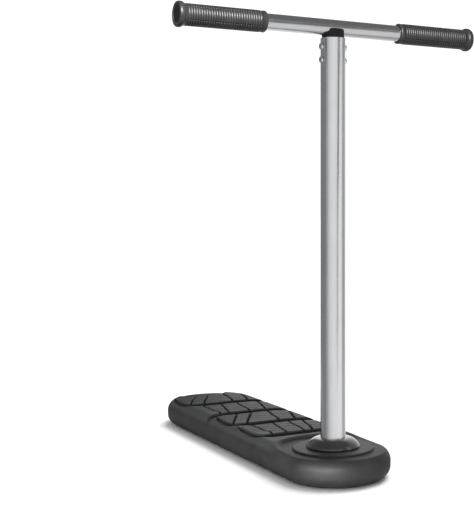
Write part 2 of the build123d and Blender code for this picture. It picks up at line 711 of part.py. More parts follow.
# Grips and end plugs, one of each on both ends of the handlebar.
for name, side in (("left", 1), ("right", -1)):
    grip_plane = Plane(origin=(spin_x, 0, bar_height), x_dir=(0, side, 0), z_dir=(side, 0, 0))
    with BuildPart() as grip:
        with BuildSketch(grip_plane):
            with BuildLine():
                Polyline(
                    (grip_inner_end, bar_radius),
                    (grip_inner_end, grip_radius),
                    (grip_outer_end - grip_flange_width - grip_flange_lead, grip_radius),
                    (grip_outer_end - grip_flange_width, grip_flange_radius),
                    (grip_outer_end, grip_flange_radius),
                    (grip_outer_end, bar_radius),
                    close=True,
                )
            make_face()
            # fine ring grooves between a plain band at each end
            with Locations(*[(place, grip_radius) for place in grip_groove_places]):
                Rectangle(grip_rib_gap, 2 * grip_rib_depth, mode=Mode.SUBTRACT)
        revolve(axis=bar_axis)
        rims = grip.edges().filter_by(GeomType.CIRCLE).group_by(SortBy.RADIUS)[-1]
        fillet(rims, grip_flange_round)
        inner_rim = grip.edges().filter_by(GeomType.CIRCLE).group_by(Axis.Y)[0 if side > 0 else -1]
        fillet(inner_rim.sort_by(SortBy.RADIUS)[-1], grip_nose_round)
    save(f"grip_{name}", grip.part)

    with BuildPart() as end_plug:
        with BuildSketch(grip_plane):
            with BuildLine():
                Polyline(
                    (bar_length / 2 - plug_stem, 0),
                    (bar_length / 2 - plug_stem, bar_radius - bar_wall - plug_lead),
                    (bar_length / 2 - plug_stem + plug_lead, bar_radius - bar_wall),
                    (bar_length / 2, bar_radius - bar_wall),
                    (bar_length / 2, bar_radius),
                    (bar_length / 2 + plug_cap_thickness, bar_radius),
                    (bar_length / 2 + plug_cap_thickness, 0),
                    close=True,
                )
            make_face()
        revolve(axis=bar_axis)
    save(f"end_plug_{name}", end_plug.part)
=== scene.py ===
# %% [markdown]
# # A trampoline trick scooter, dressed for the camera
# The metal and plastic pieces arrive as a finished CAD frame, in metres, with their places already
# right. Blender adds what CAD can't say: the moulded foam deck with its cut tread, the ribbed
# rubber grips, and a surface finish for every piece.

# %% Load the frame
from math import cos, pi, radians, sin

import bmesh
import bpy
import numpy as np
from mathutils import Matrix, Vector


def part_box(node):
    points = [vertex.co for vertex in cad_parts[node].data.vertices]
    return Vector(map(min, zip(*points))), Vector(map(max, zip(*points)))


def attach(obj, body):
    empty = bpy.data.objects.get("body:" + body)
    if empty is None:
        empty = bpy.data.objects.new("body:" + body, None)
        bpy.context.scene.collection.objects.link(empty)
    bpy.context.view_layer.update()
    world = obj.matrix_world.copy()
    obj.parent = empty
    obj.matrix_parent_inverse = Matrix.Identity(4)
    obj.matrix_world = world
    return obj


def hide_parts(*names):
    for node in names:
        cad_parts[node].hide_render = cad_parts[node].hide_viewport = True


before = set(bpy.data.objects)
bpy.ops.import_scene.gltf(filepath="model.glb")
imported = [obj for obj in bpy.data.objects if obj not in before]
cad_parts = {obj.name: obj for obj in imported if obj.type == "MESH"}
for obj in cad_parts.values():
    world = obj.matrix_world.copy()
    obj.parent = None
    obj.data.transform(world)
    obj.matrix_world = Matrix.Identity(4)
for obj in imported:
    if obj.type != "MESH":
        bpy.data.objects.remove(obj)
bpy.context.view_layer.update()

# %% [markdown]
# ## Places to work from
# Every position comes from the boxes of the CAD pieces: the deck's length, width and thickness,
# the column's axis, the handlebar's height. Nothing is typed in twice.

# %% Places
deck_low, deck_high = (np.array(corner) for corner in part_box("deck_foam"))
post_low, post_high = (np.array(corner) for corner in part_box("post_tube"))
bar_low, bar_high = (np.array(corner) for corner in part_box("handlebar_tube"))
disc_low, disc_high = (np.array(corner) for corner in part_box("cover_disc"))
plug_low, plug_high = (np.array(corner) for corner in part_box("sole_plug"))

deck_half_length = (deck_high[0] - deck_low[0]) / 2
deck_half_width = (deck_high[1] - deck_low[1]) / 2
deck_top = deck_high[2]
nose_floor = deck_top - 0.0045
spin_x = (post_low[0] + post_high[0]) / 2
bar_z = (bar_low[2] + bar_high[2]) / 2
bar_radius = (bar_high[2] - bar_low[2]) / 2
print("spin axis at", round(spin_x, 4), "bar height", round(bar_z, 4))

# %% [markdown]
# ## Camera
# A long lens at knee height looks level across the nose of the deck. The upright post stays
# upright because the camera isn't tilted: the frame is moved with lens shift instead, as an
# architect's camera does.

# %% Camera
camera_data = bpy.data.cameras.new("camera")
camera = bpy.data.objects.new("camera", camera_data)
bpy.context.scene.collection.objects.link(camera)
heading = radians(30.28)
look = Vector((-cos(heading), sin(heading), 0))
camera_ahead, camera_aside, camera_height = 1.449, -0.7994, 0.4142  # from the column's foot
camera.location = (spin_x + camera_ahead, camera_aside, camera_height)
camera.rotation_euler = look.to_track_quat("-Z", "Y").to_euler()
camera_data.lens = 75.2
camera_data.shift_x = -0.2341
camera_data.shift_y = -0.1149
camera_data.clip_end = 30
bpy.context.scene.camera = camera

# %% [markdown]
# ## Writing shaders as sums
# Node trees are easier to read as arithmetic. `Socket` wraps one output and lets Python's own
# operators add Math nodes. `Shader` holds one node tree, of a material or of the sky, and makes
# every other kind of node through a single method. `Finish` is a material with one Principled
# shader in it.

# %% Shader arithmetic
class Socket:
    """One output of a node, with arithmetic. Numbers on either side are allowed."""

    def __init__(self, shader, output):
        self.shader = shader
        self.output = output

    def math(self, operation, first, second=0.0):
        """A Math node on two values."""
        return self.shader.node("ShaderNodeMath", {"operation": operation}, {0: first, 1: second})

    def __add__(self, other):
        return self.math("ADD", self, other)

    __radd__ = __add__

    def __sub__(self, other):
        return self.math("SUBTRACT", self, other)

    def __rsub__(self, other):
        return self.math("SUBTRACT", other, self)

    def __mul__(self, other):
        return self.math("MULTIPLY", self, other)

    __rmul__ = __mul__

    def between(self, low, high):
        """0 at low, 1 at high, and a straight line between."""
        inputs = {0: self, 1: low, 2: high, 3: 0.0, 4: 1.0}
        return self.shader.node("ShaderNodeMapRange", {"clamp": True}, inputs)


class Shader:
    """A node tree and the ways to add to it."""

    def __init__(self, tree):
        self.tree = tree

    def node(self, kind, settings, inputs, output=0):
        """Adds any node: its settings are set first, then its sockets, by a value or a link."""
        node = self.tree.nodes.new(kind)
        for key, value in settings.items():
            setattr(node, key, value)
        for key, value in inputs.items():
            self.plug(node.inputs[key], value)
        return Socket(self, node.outputs[output])

    def plug(self, socket, value):
        """Links a value into a socket, or sets the socket to a number or colour."""
        if isinstance(value, Socket):
            self.tree.links.new(value.output, socket)
        elif isinstance(value, tuple) and len(value) < len(socket.default_value):
            socket.default_value = (*value, 1)
        else:
            socket.default_value = value

    def mix(self, factor, first, second):
        """A colour between two colours."""
        settings = {"data_type": "RGBA"}
        return self.node("ShaderNodeMix", settings, {0: factor, 6: first, 7: second}, 2)


class Finish(Shader):
    """A material with one Principled shader. Constants go straight on the shader's sockets."""

    def __init__(self, name, colour, roughness, metallic=0.0, **constants):
        self.material = bpy.data.materials.new(name)
        self.material.use_nodes = True
        super().__init__(self.material.node_tree)
        self.principled = self.tree.nodes["Principled BSDF"]
        self.feed("Base Color", colour)
        self.feed("Roughness", roughness)
        self.feed("Metallic", metallic)
        for key, value in constants.items():
            self.feed(key.replace("_", " ").title().replace("Ior", "IOR"), value)
        self.place = self.node("ShaderNodeTexCoord", {}, {}, "Object")

    def feed(self, key, value):
        """Sets or links one socket of the shader."""
        self.plug(self.principled.inputs[key], value)

    def stretched(self, scale):
        """Object coordinates scaled apart along X, Y and Z."""
        return self.node("ShaderNodeMapping", {}, {"Vector": self.place, "Scale": scale})

    def noise(self, scale, detail=2.0, roughness=0.5, vector=None):
        """Soft random values from 0 to 1, with scale in cells to the metre."""
        inputs = {"Vector": vector or self.place, "Scale": scale, "Detail": detail, "Roughness": roughness}
        return self.node("ShaderNodeTexNoise", {}, inputs, 0)

    def attribute(self, name):
        """A value that the mesh carries at its points."""
        return self.node("ShaderNodeAttribute", {"attribute_name": name}, {}, "Fac")

    def bump(self, height, distance):
        """Feeds the shader's normal with a relief of this many metres."""
        self.feed("Normal", self.node("ShaderNodeBump", {}, {"Height": height, "Distance": distance}))


def dress(finish, *names):
    """Gives a finish to CAD nodes or new pieces, by name."""
    for name in names:
        mesh = bpy.data.objects[name].data
        mesh.materials.clear()
        mesh.materials.append(finish.material)


print("shader helpers ready")

# %% [markdown]
# ## Studio
# A white sweep without a horizon: the floor is lit by one broad sun, so it stays white right to
# the far edge, and the sky seen by the camera is the same white. Shiny tubes show whatever
# stands round them, so large grey cards decide where a tube is dark. The cards are seen only in
# reflections. They throw no shadow and the camera looks through them.

# %% Floor and light
def add_object(name, mesh):
    """Links a new object that holds this mesh, at the origin."""
    thing = bpy.data.objects.new(name, mesh)
    bpy.context.scene.collection.objects.link(thing)
    return thing


def flat_mesh(name, corners):
    """One flat face through these corners, in order."""
    mesh = bpy.data.meshes.new(name)
    mesh.from_pydata([tuple(corner) for corner in corners], [], [tuple(range(len(corners)))])
    return mesh


floor_radius = 60.0
floor_white = (0.86, 0.86, 0.86)
turn = np.linspace(0, 2 * pi, 48, endpoint=False)
rim = floor_radius * np.stack([np.cos(turn), np.sin(turn), 0 * turn], axis=-1)
floor = add_object("floor", flat_mesh("floor", rim))
sweep = Finish("white_sweep", floor_white, 0.9, specular_ior_level=0.0)
is_glossy = sweep.node("ShaderNodeLightPath", {}, {}, "Is Glossy Ray")


def swing_about_column(shader):
    """The turn about the column away from the camera's side, 0.5 towards it and more to the right."""
    moved = {"Vector": shader.place, "Location": (-spin_x, 0, 0)}
    centred = shader.node("ShaderNodeMapping", {}, moved)
    turned = shader.node("ShaderNodeMapping", {}, {"Vector": centred, "Rotation": (0, 0, heading)})
    return shader.node("ShaderNodeTexGradient", {"gradient_type": "RADIAL"}, {"Vector": turned}, 1)


def shade_ramp(shader, value, stops, low, high):
    """A colour ramp through (place, shade) stops, with places between low and high."""
    node = shader.node("ShaderNodeValToRGB", {}, {0: value})
    ramp = node.output.node.color_ramp
    while len(ramp.elements) < len(stops):
        ramp.elements.new(0.5)
    for element, (place, shade) in zip(ramp.elements, stops):
        element.position = (place - low) / (high - low)
        element.color = (shade, shade, shade, 1)
    return node


# shade of the floor in reflections at each turn, in degrees to the right of the camera's side
floor_stops = [
    (-180, 0.80), (-160, 0.30), (-80, 0.14), (-50, 0.26), (-30, 0.46), (-8, 0.56), (20, 0.60),
    (60, 0.66), (86, 0.60), (100, 0.30), (130, 0.36), (160, 0.60), (180, 0.80),
]
floor_gloss = shade_ramp(sweep, swing_about_column(sweep), floor_stops, -180, 180)
sweep.feed("Base Color", sweep.mix(is_glossy, floor_white, floor_gloss))
dress(sweep, "floor")

scene = bpy.context.scene
scene.view_settings.view_transform = "Standard"
world = bpy.data.worlds.new("studio")
world.use_nodes = True
scene.world = world
sky = Shader(world.node_tree)
seen = sky.node("ShaderNodeLightPath", {}, {}, "Is Camera Ray")
backdrop = world.node_tree.nodes["Background"]
sky.plug(backdrop.inputs["Color"], (1.0, 1.0, 1.0))
sky_light, sky_seen = 0.75, 1.15  # strength as a light, and as the camera sees it
sky.plug(backdrop.inputs["Strength"], seen * (sky_seen - sky_light) + sky_light)

sun = bpy.data.objects.new("soft_sun", bpy.data.lights.new("soft_sun", "SUN"))
sun.data.energy = 2.6
sun.data.angle = radians(38)
sun.visible_glossy = False
sun.rotation_euler = Vector((0.30, -0.75, -1.6)).to_track_quat("-Z", "Y").to_euler()
scene.collection.objects.link(sun)


def hide_but_gloss(thing):
    """Leaves a stage object in reflections only."""
    thing.visible_camera = thing.visible_diffuse = thing.visible_shadow = False
    thing.visible_transmission = thing.visible_volume_scatter = False


def glow_finish(name, shade):
    """A plain glow. The shade may be a number or a value."""
    finish = Finish(name, (0, 0, 0), 1.0, specular_ior_level=0.0, emission_strength=1.0)
    finish.feed("Emission Color", shade if isinstance(shade, Socket) else (shade, shade, shade))
    return finish


def around(turn, distance, z):
    """A point this many degrees to the right of the line from the column to the camera."""
    angle = np.radians(turn) - heading
    x, y = spin_x + distance * np.cos(angle), distance * np.sin(angle)
    return np.stack([x, y, z + 0 * x], axis=-1)


# %% Reflection screen
screen_reach, screen_height, screen_columns = 1.15, 1.25, 145
screen_turn = np.linspace(-180, 180, screen_columns)
screen_rings = [around(screen_turn, screen_reach, z) for z in (0.0, screen_height)]
screen_points = np.stack(screen_rings)
low, high = np.arange(screen_columns), screen_columns + np.arange(screen_columns)
screen_quads = np.stack([low[:-1], low[1:], high[1:], high[:-1]], axis=-1)
screen_mesh = bpy.data.meshes.new("screen")
screen_mesh.from_pydata(screen_points.reshape(-1, 3).tolist(), [], screen_quads.tolist())
screen = add_object("screen", screen_mesh)
screen_glow = glow_finish("screen", 0.0)
swing = swing_about_column(screen_glow)

# shade seen at each turn from the camera's side, in degrees to the right
screen_stops = [
    (-180, 1.30), (-168, 1.20), (-160, 0.22), (-72, 0.24), (-58, 0.36), (-44, 0.56), (-30, 0.76),
    (-8, 0.86), (8, 0.90), (30, 0.84), (52, 0.92), (86, 0.94), (93, 0.50), (106, 0.38),
    (122, 0.44), (136, 0.62), (162, 0.80), (180, 1.30),
]

screen_glow.feed("Emission Color", shade_ramp(screen_glow, swing, screen_stops, -180, 180))
dress(screen_glow, "screen")
hide_but_gloss(screen)

# dark wedge whose edge draws the thin line down the column
wedge_turns = np.array([37.0, 43.0, 44.0, 72.0, 74.0, 50.0, 38.0])
wedge_heights = np.array([0.0, 0.0, 0.42, 0.74, 1.2, 1.2, 0.42])
wedge_reach = screen_reach - 0.04
card_shade = 0.20
wedge_corners = around(wedge_turns, wedge_reach, wedge_heights)
wedge = add_object("wedge", flat_mesh("wedge", wedge_corners))
dress(glow_finish("wedge", card_shade), "wedge")
hide_but_gloss(wedge)

roof_half, roof_height = 1.5, 1.30
square = ((-1, -1), (1, -1), (1, 1), (-1, 1))
roof_corners = [(spin_x + roof_half * x, roof_half * y, roof_height) for x, y in square]
roof = add_object("roof", flat_mesh("roof", roof_corners))
dress(glow_finish("roof", card_shade), "roof")
hide_but_gloss(roof)
print("screen stops", len(screen_stops))

# %% [markdown]
# ## Metals
# Satin anodised tube: a fine grain drawn along the tube, so the noise is squeezed across its
# length, and a cloudy variation in how dull it is. Turned and plated parts use the same recipe
# with an even grain.

# %% Metals
def metal(name, colour, roughness, grain, stretch=(1, 1, 1), relief=4e-6):
    """Bare or plated metal with grain of this many cells to the metre, drawn out by stretch."""
    finish = Finish(name, colour, roughness, 1.0)
    streak = finish.noise(grain, 3.0, 0.6, finish.stretched(stretch))
    cloud = finish.noise(14.0, 3.0, 0.55)
    finish.feed("Roughness", roughness + (streak - 0.5) * 0.16 + (cloud - 0.5) * 0.10)
    dark = tuple(0.86 * c for c in colour)
    patches = (0.7 * streak + 0.3 * cloud).between(0.3, 0.7)
    finish.feed("Base Color", finish.mix(patches, dark, colour))
    finish.bump(streak, relief)
    return finish


post_metal = metal("satin_post", (0.80, 0.805, 0.82), 0.20, 900.0, (1, 1, 0.04))
bar_metal = metal("satin_bar", (0.62, 0.625, 0.64), 0.20, 900.0, (1, 0.04, 1))
zinc = metal("bright_zinc", (0.78, 0.79, 0.81), 0.22, 1500.0)
turned = metal("turned_alloy", (0.66, 0.67, 0.69), 0.34, 1200.0, (1, 1, 3))
polished = metal("bearing_steel", (0.62, 0.62, 0.63), 0.12, 600.0)
black_oxide = metal("black_oxide", (0.09, 0.09, 0.10), 0.38, 1100.0)
dress(post_metal, "post_tube")
dress(bar_metal, "handlebar_tube")
dress(zinc, "saddle_screws", "kingpin_bolt", "kingpin_washer", "flange_bolts", "flange_nuts")
dress(zinc, "bar_nut", "backing_ring", "collar_screws")
dress(turned, "bearing_housing", "spindle", "race_spacer")
for place in ("upper", "lower"):
    dress(polished, f"{place}_inner_race", f"{place}_outer_race", f"{place}_balls")
dress(black_oxide, "bar_bolt", "circlip")

# %% [markdown]
# ## Plastics and coats
# The dome is coated gloss black: a dark base under a clear coat, with the faint orange peel of
# sprayed paint. The other plastics are spark-eroded: a fine even relief that breaks up the
# highlight.

# %% Plastics and coats
def plastic(name, colour, roughness, grain, relief, **constants):
    """Moulded plastic or rubber with an even grain, cloudy colour and faint handling marks."""
    finish = Finish(name, colour, roughness, **constants)
    fine = finish.noise(grain, 2.0, 0.6)
    cloud = finish.noise(22.0, 4.0, 0.6)
    light = tuple(min(1.0, 1.5 * c + 0.004) for c in colour)
    finish.feed("Base Color", finish.mix(cloud.between(0.35, 0.75), colour, light))
    finish.feed("Roughness", roughness + (cloud - 0.5) * 0.14 + (fine - 0.5) * 0.10)
    finish.bump(fine, relief)
    return finish


gloss_coat = plastic(
    "gloss_black_coat", (0.022, 0.022, 0.022), 0.22, 260.0, 6e-6, coat_weight=1.0, coat_roughness=0.06,
)
disc_plastic = plastic(
    "disc_plastic", (0.016, 0.016, 0.017), 0.50, 1600.0, 2.5e-5, specular_ior_level=0.35,
)
saddle_plastic = plastic(
    "saddle_nylon", (0.005, 0.005, 0.005), 0.45, 1400.0, 2.5e-5, specular_ior_level=0.25,
)
cage_nylon = plastic("cage_nylon", (0.72, 0.66, 0.50), 0.45, 900.0, 1e-5)
plug_rubber = plastic("plug_rubber", (0.020, 0.020, 0.021), 0.75, 900.0, 4e-5)
dress(gloss_coat, "post_collar")
dress(disc_plastic, "cover_disc")
dress(saddle_plastic, "saddle", "end_plug_left", "end_plug_right")
dress(cage_nylon, "upper_cage", "lower_cage")
dress(plug_rubber, "sole_plug")

ply = Finish("core_ply", (0.56, 0.43, 0.28), 0.7)
ply_grain = ply.noise(160.0, 4.0, 0.6, ply.stretched((0.05, 1, 1)))
ply.feed("Base Color", ply.mix(ply_grain.between(0.3, 0.7), (0.42, 0.30, 0.18), (0.62, 0.49, 0.33)))
ply.bump(ply_grain, 1e-4)
dress(ply, "core_board")

# %% [markdown]
# ## Foam deck: the outline as rows and columns
# The deck is one moulding of soft foam with round ends. Sculpting it would lose its exact size,
# and cutting the tread with booleans would leave knife edges. Instead the skin is a grid: columns
# run round the outline, and rows run from the deck's middle line over the rounded edge, down the
# side and under the sole. Around the column the rows start from a circle, which leaves the round
# pocket for the bearing hub open.

# %% Deck columns
edge_radius = 0.020
end_radius = deck_half_width
straight_half = deck_half_length - end_radius
flat_reach = end_radius - edge_radius
pocket_radius = (disc_high[0] - disc_low[0]) / 2 - 0.006
sole_radius = (plug_high[0] - plug_low[0]) / 2
pocket_rear = spin_x - pocket_radius


def smooth_step(low, high, value):
    """0 below low, 1 above high, and the cubic 3t^2 - 2t^3 between."""
    t = np.clip((value - low) / (high - low), 0, 1)
    return t * t * (3 - 2 * t)


def deck_columns(fine, coarse):
    """The columns round the outline, as arrays: the line they start from (along), the centre and
    direction of their round edge, and the angle they take on a circle round the column's axis.
    Fine spacing is used beside the tread and round the tail, coarse spacing round the nose."""
    tread_end = spin_x - 0.025
    stops = (-straight_half, pocket_rear, tread_end, spin_x)
    steps = (fine, fine, coarse)
    side = np.concatenate([
        np.linspace(start, end, round((end - start) / step), endpoint=False)
        for start, end, step in zip(stops, stops[1:], steps)
    ])
    nose_length = 2 * (straight_half - spin_x) + pi * end_radius
    reach = np.linspace(0, nose_length, int(nose_length / coarse))
    lead = straight_half - spin_x
    turn = np.clip((reach - lead) / end_radius, 0, pi) - pi / 2
    past = np.maximum(reach - lead - pi * end_radius, 0)
    nose_x = spin_x + np.minimum(reach, lead) - past
    tail = np.linspace(pi / 2, 3 * pi / 2, int(pi * end_radius / fine))[1:-1]
    centre_x = np.concatenate([side, nose_x, side[::-1], np.full(len(tail), -straight_half)])
    angle = np.concatenate([np.full(len(side), -pi / 2), turn, np.full(len(side), pi / 2), tail])
    off_circle = np.full(len(tail), -9.0)  # far behind everything, so it never reaches the circle
    share = np.concatenate([side, np.full(len(nose_x), spin_x), side[::-1], off_circle])
    ring = pi - pi / 2 * np.clip((share - pocket_rear) / pocket_radius, 0, 1)
    ring = ring * np.sign(angle)
    nose = slice(len(side), len(side) + len(nose_x))
    ring[nose] = -pi / 2 + pi * reach / nose_length
    middle = np.clip((share + straight_half) / (pocket_rear + straight_half), 0, 1)
    on_circle = share >= pocket_rear - 1e-9
    return centre_x, angle, ring, middle, on_circle


centre_x, edge_angle, ring_angle, middle, on_circle = deck_columns(0.0011, 0.0025)
print("deck columns", len(centre_x), "on the circle", int(on_circle.sum()))


def inner_line(radius):
    """Where the rows start: the circle of this radius round the column, or the middle line that
    runs from the tail's centre to the back of that circle."""
    rear = spin_x - radius
    on_line = -straight_half + middle * (rear + straight_half)
    x = np.where(on_circle, spin_x + radius * np.cos(ring_angle), on_line)
    y = np.where(on_circle, radius * np.sin(ring_angle), 0)
    return np.stack([x, y], axis=-1)


def outline(offset):
    """The outline at this distance from the straight middle line: centre + offset * direction."""
    direction = np.stack([np.cos(edge_angle), np.sin(edge_angle)], axis=-1)
    return np.stack([centre_x, 0 * centre_x], axis=-1) + offset * direction


def flat_rows(start, end, z, count):
    """Rows spread evenly from one line to another at one height, the end not included."""
    share = np.linspace(0, 1, count, endpoint=False)[:, None, None]
    flat = start + share * (end - start)
    return np.concatenate([flat, np.full(flat.shape[:2] + (1,), z)], axis=-1)


def edge_rows(angles):
    """Rows round the edge. At angle 0 the surface is level on top, at 90 degrees upright, at 180
    level underneath: reach = flat + R sin(a), height = R cos(a) past the upper or lower centre."""
    rows = []
    for angle in angles:
        centre = deck_top - edge_radius if angle <= pi / 2 else edge_radius
        ring = outline(flat_reach + edge_radius * sin(angle))
        z = np.full((len(ring), 1), centre + edge_radius * cos(angle))
        rows.append(np.concatenate([ring, z], axis=-1))
    return np.array(rows)


# %% [markdown]
# ## The tread
# Four broad grooves cross the deck and curl round the corners of the pads between them. Each one
# is a line with a width: the distance to the line says how deep the foam is pressed at a point.
# The same distance gives narrow cuts and fine score lines, so the whole tread is one height map,
# and soft walls come from a smooth step instead of a hard edge.

# %% Lines of the tread
def rounded(points, times=3):
    """Cuts the corners of a line: each pass keeps the points a quarter and three quarters along
    every run, which tends to a smooth quadratic curve."""
    points = np.array(points, float)
    for _ in range(times):
        quarter = 0.75 * points[:-1] + 0.25 * points[1:]
        later = 0.25 * points[:-1] + 0.75 * points[1:]
        between = np.stack([quarter, later], axis=1).reshape(-1, points.shape[1])
        points = np.concatenate([points[:1], between, points[-1:]])
    return points


def gap_to(line, x, y):
    """How far each point (x, y) is outside a line of straight runs. The line may hold a third
    value at each point, half its width there, which changes evenly along a run."""
    nearest = np.full(np.shape(x), 9.0)
    for start, end in zip(line[:-1], line[1:]):
        run = end - start
        share = ((x - start[0]) * run[0] + (y - start[1]) * run[1]) / (run[:2] @ run[:2])
        share = np.clip(share, 0, 1)
        gap = np.hypot(x - start[0] - share * run[0], y - start[1] - share * run[1])
        if len(run) > 2:
            gap = gap - start[2] - share * run[2]
        nearest = np.minimum(nearest, gap)
    return nearest


def placed(points, middle):
    """Millimetre points, X from a middle line, as metres in the deck's frame."""
    points = np.array(points, float) * MM
    points[:, 0] += middle
    return points


MM = 0.001
pitch = 100 * MM
first_groove = spin_x - 111 * MM
step_radius = 88 * MM
wall_half = 0.9 * MM

# X, Y and half width from the middle of each groove, from the -Y side to the +Y side
hooked = [
    (-86, -64, 0.5), (-70, -69, 3), (-50, -71.5, 4), (-30, -72, 5), (-12, -67, 8),
    (-2, -52, 11), (0, -34, 11.5), (0, 0, 11.5), (0, 40, 11.5), (8, 62, 11.5), (24, 84, 11.5),
]
first_hook = [(-92, -68, 0.5)] + hooked[1:5] + [(0, -54, 11.5), (0, -34, 13), (0, 0, 13)] + hooked[8:]
swept = [
    (16, -84, 4), (10, -72, 7), (4, -58, 9), (0, -40, 11), (0, -20, 11.5), (0, 20, 11.5),
    (0, 40, 11.5), (8, 62, 11.5), (24, 84, 11.5),
]
groove_lines = [first_hook, hooked, swept, hooked]
grooves = [
    rounded(placed(line, first_groove - number * pitch)) for number, line in enumerate(groove_lines)
]

# narrow cuts across each pad, X from the pad's middle, the pad nearest the column first
pad_cuts = [
    [
        [(-42, -44), (-15, -42), (10, -43), (22, -39), (40, -43)],
        [(-42, -4), (-28, -7), (2, -11), (28, -15), (42, -17)],
        [(-40, 25), (-21, 21), (11, 19), (32, 16), (41, 15)],
        [(-40, 50), (-8, 42), (13, 38), (40, 29)],
    ],
    [
        [(-40, -25), (-26, -32), (5, -49), (34, -64)],
        [(-40, 2), (-14, -12), (5, -23), (27, -35), (42, -42)],
        [(-40, 33), (-21, 30), (2, 24), (21, 23), (41, 17)],
        [(-30, 66), (-3, 61), (24, 52), (41, 47)],
    ],
    [
        [(-42, -45), (-26, -49), (-12, -47), (13, -48), (22, -46), (31, -44), (42, -48)],
        [(-42, -12), (-9, -19), (11, -24), (39, -30)],
        [(-41, 18), (-12, 14), (10, 13), (31, 11), (42, 7)],
        [(-33, 56), (-12, 53), (18, 45), (42, 39)],
    ],
    [
        [(-42, -20), (-16, -35), (7, -47), (34, -60)],
        [(-42, 5), (0, -17), (18, -27), (42, -37)],
        [(-40, 34), (-3, 29), (19, 26), (43, 19)],
        [(-24, 63), (8, 58), (29, 53), (42, 48)],
    ],
]
print("grooves", len(grooves), "pads", len(pad_cuts), "cuts", sum(len(pad) for pad in pad_cuts))

# %% [markdown]
# ## Pressing the tread into the skin
# Depth is a sum of presses, each one a smooth step of a distance. The broad grooves and the low
# nose share one floor height, so wherever the rounded edge is already lower than that floor, the
# groove runs out by itself. A smooth minimum takes the place of a plain one at the nose, which
# leaves a soft shoulder and no crease.

# %% Height of the tread
def tread_pressed(x, y):
    """How far the floor is pressed at each point, 0 for untouched and 1 for full depth: the
    deepest of the four grooves, the step behind the last pad and the low nose."""
    pressed = np.zeros_like(x)
    for line in grooves:
        pressed = np.maximum(pressed, 1 - smooth_step(-wall_half, wall_half, gap_to(line, x, y)))
    ahead = np.minimum(np.hypot(x - spin_x, y) - step_radius, spin_x - x)
    ramp = wall_half + 16 * MM * smooth_step(44 * MM, 82 * MM, np.abs(y))
    low_nose = 1 - smooth_step(-ramp, ramp, ahead)
    tail_line = placed([(-66, -22, 25), (-66, 22, 25)], first_groove - 3.5 * pitch)
    low_tail = 1 - smooth_step(-wall_half, wall_half, gap_to(tail_line, x, y))
    grooved = np.maximum(pressed, low_tail)
    return np.maximum(grooved, low_nose), low_nose, grooved


cut_full, score_full = 3.4 * MM, 0.5 * MM
score_starts = (-24, -6, 12, 28)  # where the score lines cross the deck's middle, in mm
score_slope = 0.36  # along the deck for each step across it
score_reach = 70


def cut_depth(x, y):
    """Depth of the narrow cuts and of the fine score lines across the pads, in metres."""
    depth = np.zeros_like(x)
    for number, cuts in enumerate(pad_cuts):
        middle = first_groove - (number + 0.5) * pitch
        for cut in cuts:
            gap = gap_to(placed(cut, middle), x, y)
            depth = np.maximum(depth, cut_full * (1 - smooth_step(0.9 * MM, 2.0 * MM, gap)))
        for along in score_starts:
            slant = score_slope * score_reach
            line = placed([(along - slant, -score_reach), (along + slant, score_reach)], middle)
            gap = gap_to(line, x, y)
            depth = np.maximum(depth, score_full * (1 - smooth_step(0.3 * MM, 1.5 * MM, gap)))
    return depth


def smooth_floor(z, floor, blend):
    """The lower of z and a floor, rounded over where they meet: z(1-h) + floor h - blend h(1-h)."""
    h = np.clip(0.5 + 0.5 * (z - floor) / blend, 0, 1)
    return z * (1 - h) + floor * h - blend * h * (1 - h)


# %% Deck skin
flat_count = 58
flat_top = flat_rows(inner_line(pocket_radius), outline(flat_reach), deck_top, flat_count)
top_arc = np.radians(np.concatenate([np.linspace(0, 42, 15), np.linspace(48, 90, 8)]))
low_arc = np.radians(np.linspace(90, 180, 10))
rounded_edge = np.concatenate([edge_rows(top_arc), edge_rows(low_arc)])
flat_sole = flat_rows(inner_line(sole_radius), outline(flat_reach), 0.0, 7)[::-1]
skin = np.concatenate([flat_top, rounded_edge, flat_sole])
x, y, z = skin[..., 0], skin[..., 1], skin[..., 2]
pressed, low_nose, grooved = tread_pressed(x, y)
is_top = smooth_step(deck_top - 13 * MM, deck_top - 6 * MM, z)
# painted sheen: 1 on the pad tops and 0 on the sides and in the grooves, so the tops are painted lighter
# than the sides
block = (1 - pressed) * is_top
# painted shade: the floors of the broad grooves, away from the low nose, are painted dark
groove = grooved * (1 - low_nose) * smooth_step(nose_floor - 3 * MM, nose_floor + 1 * MM, z)
soft_floor = smooth_floor(z, nose_floor, 2 * MM)
floor_z = low_nose * soft_floor + (1 - low_nose) * np.minimum(z, nose_floor)
new_z = z - pressed * (z - floor_z)
near_top = smooth_step(deck_top - 3 * MM, deck_top - 0.5 * MM, z)
on_block = (1 - smooth_step(0.0, 0.3, pressed)) * near_top
depth = cut_depth(x, y)
skin[..., 2] = new_z - on_block * depth
# painted shade: the narrow cuts are painted darker with depth, fully dark from black_from on; the same
# share also makes them rougher
black_from = 2.4 * MM  # a cut is fully dark from this depth on
cut_shade = on_block * np.clip(depth / black_from, 0, 1)
pressed_share = round(float(pressed[:flat_count].mean()), 3)
print("deck skin", skin.shape[:2], "pressed area share", pressed_share)

# %% [markdown]
# ## Inside the foam
# The real moulding holds a plywood board and, round the column, a pocket for the steel hub. The
# pocket is open to the board's room, and a small round way in from the sole is closed by a
# rubber plug. The same columns carry these inner walls, so the foam is one closed skin.

# %% Deck inner walls
board_low, board_high = (np.array(corner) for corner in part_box("core_board"))
flange_room = 0.051
nut_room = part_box("flange_bolts")[0][2] - 0.0005
access_radius = 0.018
plug_top = plug_high[2]
board_reach = board_high[1]


def level_ring(radius, z):
    """One row on a circle round the column, or on the middle line behind it."""
    flat = inner_line(radius)
    return np.concatenate([flat, np.full((len(flat), 1), z)], axis=-1)


